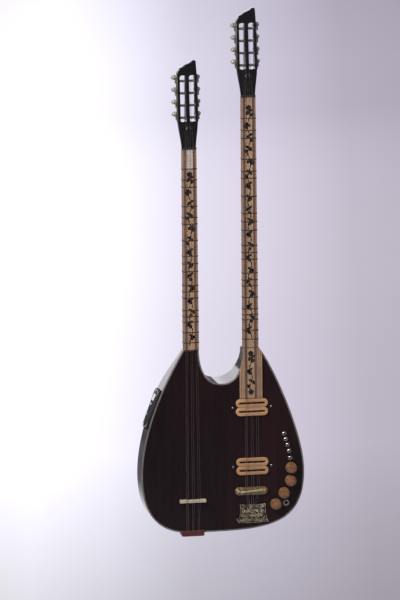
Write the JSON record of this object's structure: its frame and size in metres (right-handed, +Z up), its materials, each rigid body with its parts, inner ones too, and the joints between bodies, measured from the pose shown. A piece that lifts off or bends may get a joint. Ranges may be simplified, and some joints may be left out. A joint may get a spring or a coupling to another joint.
{
  "type": "double-neck long-necked lute",
  "caption": "Double-neck electro-acoustic long-necked lute: glossy pear-shaped body, slotted heads with geared tuners, pickups, bridges, knobs and switches.",
  "frame": {"origin": "on the tail block's end face, on the left neck's centre line, in the plane of the soundboard's face", "axes": "+Z up along the necks, +Y from the playing face to the back, +X towards the right neck as the front is looked at"},
  "size_m": [0.339, 0.106, 1.0881],
  "materials": {
    "body_lacquer": "high-gloss black-brown lacquer over wood grain",
    "neck_lacquer": "high-gloss black lacquer",
    "fingerboard_wood": "satin pale maple with dark stripes and an inlaid vine",
    "tuner_metal": "polished nickel",
    "key_pearl": "pearly buttons on nickel shafts",
    "bridge_bone": "satin bone",
    "bridge_gold": "engraved gilt with a bone saddle",
    "tail_silver": "aged filigree silver",
    "tail_wood": "satin reddish-brown wood",
    "pickup_wood": "satin light-wood covers",
    "knob_wood": "amber-brown centre with a pale rim",
    "switch_chrome": "polished chrome",
    "preamp_plastic": "black with a pale trim line"
  },
  "bodies": {
    "instrument": {"soundboard": "body_lacquer", "body_sides": "body_lacquer", "body_back": "body_lacquer", "left_neck": "neck_lacquer", "right_neck": "neck_lacquer", "left_fingerboard": "fingerboard_wood", "right_fingerboard": "fingerboard_wood", "left_bass_machine_plate": "tuner_metal", "left_treble_machine_plate": "tuner_metal", "right_bass_machine_plate": "tuner_metal", "right_treble_machine_plate": "tuner_metal", "floating_bridge": "bridge_bone", "fixed_bridge": "bridge_gold", "tailpiece": "tail_silver", "tail_block": "tail_wood", "neck_pickup": "pickup_wood", "bridge_pickup": "pickup_wood", "output_jack": "switch_chrome", "preamp": "preamp_plastic"},
    "key_left_bass_1": {"tuning_key_left_bass_1": "key_pearl"},
    "roller_left_bass_1": {"string_roller_left_bass_1": "tuner_metal"},
    "key_left_bass_2": {"tuning_key_left_bass_2": "key_pearl"},
    "roller_left_bass_2": {"string_roller_left_bass_2": "tuner_metal"},
    "key_left_bass_3": {"tuning_key_left_bass_3": "key_pearl"},
    "roller_left_bass_3": {"string_roller_left_bass_3": "tuner_metal"},
    "key_left_bass_4": {"tuning_key_left_bass_4": "key_pearl"},
    "roller_left_bass_4": {"string_roller_left_bass_4": "tuner_metal"},
    "key_left_treble_1": {"tuning_key_left_treble_1": "key_pearl"},
    "roller_left_treble_1": {"string_roller_left_treble_1": "tuner_metal"},
    "key_left_treble_2": {"tuning_key_left_treble_2": "key_pearl"},
    "roller_left_treble_2": {"string_roller_left_treble_2": "tuner_metal"},
    "key_left_treble_3": {"tuning_key_left_treble_3": "key_pearl"},
    "roller_left_treble_3": {"string_roller_left_treble_3": "tuner_metal"},
    "key_left_treble_4": {"tuning_key_left_treble_4": "key_pearl"},
    "roller_left_treble_4": {"string_roller_left_treble_4": "tuner_metal"},
    "key_right_bass_1": {"tuning_key_right_bass_1": "key_pearl"},
    "roller_right_bass_1": {"string_roller_right_bass_1": "tuner_metal"},
    "key_right_bass_2": {"tuning_key_right_bass_2": "key_pearl"},
    "roller_right_bass_2": {"string_roller_right_bass_2": "tuner_metal"},
    "key_right_bass_3": {"tuning_key_right_bass_3": "key_pearl"},
    "roller_right_bass_3": {"string_roller_right_bass_3": "tuner_metal"},
    "key_right_bass_4": {"tuning_key_right_bass_4": "key_pearl"},
    "roller_right_bass_4": {"string_roller_right_bass_4": "tuner_metal"},
    "key_right_treble_1": {"tuning_key_right_treble_1": "key_pearl"},
    "roller_right_treble_1": {"string_roller_right_treble_1": "tuner_metal"},
    "key_right_treble_2": {"tuning_key_right_treble_2": "key_pearl"},
    "roller_right_treble_2": {"string_roller_right_treble_2": "tuner_metal"},
    "key_right_treble_3": {"tuning_key_right_treble_3": "key_pearl"},
    "roller_right_treble_3": {"string_roller_right_treble_3": "tuner_metal"},
    "key_right_treble_4": {"tuning_key_right_treble_4": "key_pearl"},
    "roller_right_treble_4": {"string_roller_right_treble_4": "tuner_metal"},
    "knob_1": {"control_knob_1": "knob_wood"},
    "knob_2": {"control_knob_2": "knob_wood"},
    "knob_3": {"control_knob_3": "knob_wood"},
    "knob_4": {"control_knob_4": "knob_wood"},
    "lever_1": {"toggle_lever_1": "switch_chrome"},
    "lever_2": {"toggle_lever_2": "switch_chrome"},
    "lever_3": {"toggle_lever_3": "switch_chrome"},
    "lever_4": {"toggle_lever_4": "switch_chrome"},
    "lever_5": {"toggle_lever_5": "switch_chrome"}
  },
  "joints": [
    {"name": "key_turn_left_bass_1", "type": "hinge", "parent": "instrument", "child": "key_left_bass_1", "pos_m": [-0.0233, 0.01276, 0.87377], "axis": [0, 0.9976, -0.0698], "continuous": true},
    {"name": "roller_turn_left_bass_1", "type": "hinge", "parent": "instrument", "child": "roller_left_bass_1", "pos_m": [-0.012, 0.0123, 0.86729], "axis": [1, 0, 0], "continuous": true},
    {"name": "key_turn_left_bass_2", "type": "hinge", "parent": "instrument", "child": "key_left_bass_2", "pos_m": [-0.0233, 0.0145, 0.89871], "axis": [0, 0.9976, -0.0698], "continuous": true},
    {"name": "roller_turn_left_bass_2", "type": "hinge", "parent": "instrument", "child": "roller_left_bass_2", "pos_m": [-0.012, 0.01405, 0.89223], "axis": [1, 0, 0], "continuous": true},
    {"name": "key_turn_left_bass_3", "type": "hinge", "parent": "instrument", "child": "key_left_bass_3", "pos_m": [-0.0233, 0.01625, 0.92365], "axis": [0, 0.9976, -0.0698], "continuous": true},
    {"name": "roller_turn_left_bass_3", "type": "hinge", "parent": "instrument", "child": "roller_left_bass_3", "pos_m": [-0.012, 0.01579, 0.91717], "axis": [1, 0, 0], "continuous": true},
    {"name": "key_turn_left_bass_4", "type": "hinge", "parent": "instrument", "child": "key_left_bass_4", "pos_m": [-0.0233, 0.01799, 0.94859], "axis": [0, 0.9976, -0.0698], "continuous": true},
    {"name": "roller_turn_left_bass_4", "type": "hinge", "parent": "instrument", "child": "roller_left_bass_4", "pos_m": [-0.012, 0.01754, 0.94211], "axis": [1, 0, 0], "continuous": true},
    {"name": "key_turn_left_treble_1", "type": "hinge", "parent": "instrument", "child": "key_left_treble_1", "pos_m": [0.0233, 0.01276, 0.87377], "axis": [0, 0.9976, -0.0698], "continuous": true},
    {"name": "roller_turn_left_treble_1", "type": "hinge", "parent": "instrument", "child": "roller_left_treble_1", "pos_m": [0.012, 0.0123, 0.86729], "axis": [1, 0, 0], "continuous": true},
    {"name": "key_turn_left_treble_2", "type": "hinge", "parent": "instrument", "child": "key_left_treble_2", "pos_m": [0.0233, 0.0145, 0.89871], "axis": [0, 0.9976, -0.0698], "continuous": true},
    {"name": "roller_turn_left_treble_2", "type": "hinge", "parent": "instrument", "child": "roller_left_treble_2", "pos_m": [0.012, 0.01405, 0.89223], "axis": [1, 0, 0], "continuous": true},
    {"name": "key_turn_left_treble_3", "type": "hinge", "parent": "instrument", "child": "key_left_treble_3", "pos_m": [0.0233, 0.01625, 0.92365], "axis": [0, 0.9976, -0.0698], "continuous": true},
    {"name": "roller_turn_left_treble_3", "type": "hinge", "parent": "instrument", "child": "roller_left_treble_3", "pos_m": [0.012, 0.01579, 0.91717], "axis": [1, 0, 0], "continuous": true},
    {"name": "key_turn_left_treble_4", "type": "hinge", "parent": "instrument", "child": "key_left_treble_4", "pos_m": [0.0233, 0.01799, 0.94859], "axis": [0, 0.9976, -0.0698], "continuous": true},
    {"name": "roller_turn_left_treble_4", "type": "hinge", "parent": "instrument", "child": "roller_left_treble_4", "pos_m": [0.012, 0.01754, 0.94211], "axis": [1, 0, 0], "continuous": true},
    {"name": "key_turn_right_bass_1", "type": "hinge", "parent": "instrument", "child": "key_right_bass_1", "pos_m": [0.1004, 0.01276, 0.97677], "axis": [0, 0.9976, -0.0698], "continuous": true},
    {"name": "roller_turn_right_bass_1", "type": "hinge", "parent": "instrument", "child": "roller_right_bass_1", "pos_m": [0.1117, 0.0123, 0.97029], "axis": [1, 0, 0], "continuous": true},
    {"name": "key_turn_right_bass_2", "type": "hinge", "parent": "instrument", "child": "key_right_bass_2", "pos_m": [0.1004, 0.0145, 1.00171], "axis": [0, 0.9976, -0.0698], "continuous": true},
    {"name": "roller_turn_right_bass_2", "type": "hinge", "parent": "instrument", "child": "roller_right_bass_2", "pos_m": [0.1117, 0.01405, 0.99523], "axis": [1, 0, 0], "continuous": true},
    {"name": "key_turn_right_bass_3", "type": "hinge", "parent": "instrument", "child": "key_right_bass_3", "pos_m": [0.1004, 0.01625, 1.02665], "axis": [0, 0.9976, -0.0698], "continuous": true},
    {"name": "roller_turn_right_bass_3", "type": "hinge", "parent": "instrument", "child": "roller_right_bass_3", "pos_m": [0.1117, 0.01579, 1.02017], "axis": [1, 0, 0], "continuous": true},
    {"name": "key_turn_right_bass_4", "type": "hinge", "parent": "instrument", "child": "key_right_bass_4", "pos_m": [0.1004, 0.01799, 1.05159], "axis": [0, 0.9976, -0.0698], "continuous": true},
    {"name": "roller_turn_right_bass_4", "type": "hinge", "parent": "instrument", "child": "roller_right_bass_4", "pos_m": [0.1117, 0.01754, 1.04511], "axis": [1, 0, 0], "continuous": true},
    {"name": "key_turn_right_treble_1", "type": "hinge", "parent": "instrument", "child": "key_right_treble_1", "pos_m": [0.147, 0.01276, 0.97677], "axis": [0, 0.9976, -0.0698], "continuous": true},
    {"name": "roller_turn_right_treble_1", "type": "hinge", "parent": "instrument", "child": "roller_right_treble_1", "pos_m": [0.1357, 0.0123, 0.97029], "axis": [1, 0, 0], "continuous": true},
    {"name": "key_turn_right_treble_2", "type": "hinge", "parent": "instrument", "child": "key_right_treble_2", "pos_m": [0.147, 0.0145, 1.00171], "axis": [0, 0.9976, -0.0698], "continuous": true},
    {"name": "roller_turn_right_treble_2", "type": "hinge", "parent": "instrument", "child": "roller_right_treble_2", "pos_m": [0.1357, 0.01405, 0.99523], "axis": [1, 0, 0], "continuous": true},
    {"name": "key_turn_right_treble_3", "type": "hinge", "parent": "instrument", "child": "key_right_treble_3", "pos_m": [0.147, 0.01625, 1.02665], "axis": [0, 0.9976, -0.0698], "continuous": true},
    {"name": "roller_turn_right_treble_3", "type": "hinge", "parent": "instrument", "child": "roller_right_treble_3", "pos_m": [0.1357, 0.01579, 1.02017], "axis": [1, 0, 0], "continuous": true},
    {"name": "key_turn_right_treble_4", "type": "hinge", "parent": "instrument", "child": "key_right_treble_4", "pos_m": [0.147, 0.01799, 1.05159], "axis": [0, 0.9976, -0.0698], "continuous": true},
    {"name": "roller_turn_right_treble_4", "type": "hinge", "parent": "instrument", "child": "roller_right_treble_4", "pos_m": [0.1357, 0.01754, 1.04511], "axis": [1, 0, 0], "continuous": true},
    {"name": "knob_turn_1", "type": "hinge", "parent": "instrument", "child": "knob_1", "pos_m": [0.2055, 0, 0.1335], "axis": [0, 1, 0], "range_deg": [-140, 140]},
    {"name": "knob_turn_2", "type": "hinge", "parent": "instrument", "child": "knob_2", "pos_m": [0.204, 0, 0.1072], "axis": [0, 1, 0], "range_deg": [-140, 140]},
    {"name": "knob_turn_3", "type": "hinge", "parent": "instrument", "child": "knob_3", "pos_m": [0.19, 0, 0.082], "axis": [0, 1, 0], "range_deg": [-140, 140]},
    {"name": "knob_turn_4", "type": "hinge", "parent": "instrument", "child": "knob_4", "pos_m": [0.1727, 0, 0.0594], "axis": [0, 1, 0], "range_deg": [-140, 140]},
    {"name": "lever_throw_1", "type": "hinge", "parent": "instrument", "child": "lever_1", "pos_m": [0.192, 0.001, 0.205], "axis": [1, 0, 0], "range_deg": [0, 24]},
    {"name": "lever_throw_2", "type": "hinge", "parent": "instrument", "child": "lever_2", "pos_m": [0.1953, 0.001, 0.1932], "axis": [1, 0, 0], "range_deg": [0, 24]},
    {"name": "lever_throw_3", "type": "hinge", "parent": "instrument", "child": "lever_3", "pos_m": [0.199, 0.001, 0.1814], "axis": [1, 0, 0], "range_deg": [0, 24]},
    {"name": "lever_throw_4", "type": "hinge", "parent": "instrument", "child": "lever_4", "pos_m": [0.202, 0.001, 0.1684], "axis": [1, 0, 0], "range_deg": [0, 24]},
    {"name": "lever_throw_5", "type": "hinge", "parent": "instrument", "child": "lever_5", "pos_m": [0.2043, 0.001, 0.1534], "axis": [1, 0, 0], "range_deg": [0, 24]}
  ],
  "couplings": [
    {"joint": "roller_turn_left_bass_1", "follows": "key_turn_left_bass_1", "ratio": 0.066667},
    {"joint": "roller_turn_left_bass_2", "follows": "key_turn_left_bass_2", "ratio": 0.066667},
    {"joint": "roller_turn_left_bass_3", "follows": "key_turn_left_bass_3", "ratio": 0.066667},
    {"joint": "roller_turn_left_bass_4", "follows": "key_turn_left_bass_4", "ratio": 0.066667},
    {"joint": "roller_turn_left_treble_1", "follows": "key_turn_left_treble_1", "ratio": 0.066667},
    {"joint": "roller_turn_left_treble_2", "follows": "key_turn_left_treble_2", "ratio": 0.066667},
    {"joint": "roller_turn_left_treble_3", "follows": "key_turn_left_treble_3", "ratio": 0.066667},
    {"joint": "roller_turn_left_treble_4", "follows": "key_turn_left_treble_4", "ratio": 0.066667},
    {"joint": "roller_turn_right_bass_1", "follows": "key_turn_right_bass_1", "ratio": 0.066667},
    {"joint": "roller_turn_right_bass_2", "follows": "key_turn_right_bass_2", "ratio": 0.066667},
    {"joint": "roller_turn_right_bass_3", "follows": "key_turn_right_bass_3", "ratio": 0.066667},
    {"joint": "roller_turn_right_bass_4", "follows": "key_turn_right_bass_4", "ratio": 0.066667},
    {"joint": "roller_turn_right_treble_1", "follows": "key_turn_right_treble_1", "ratio": 0.066667},
    {"joint": "roller_turn_right_treble_2", "follows": "key_turn_right_treble_2", "ratio": 0.066667},
    {"joint": "roller_turn_right_treble_3", "follows": "key_turn_right_treble_3", "ratio": 0.066667},
    {"joint": "roller_turn_right_treble_4", "follows": "key_turn_right_treble_4", "ratio": 0.066667}
  ]
}
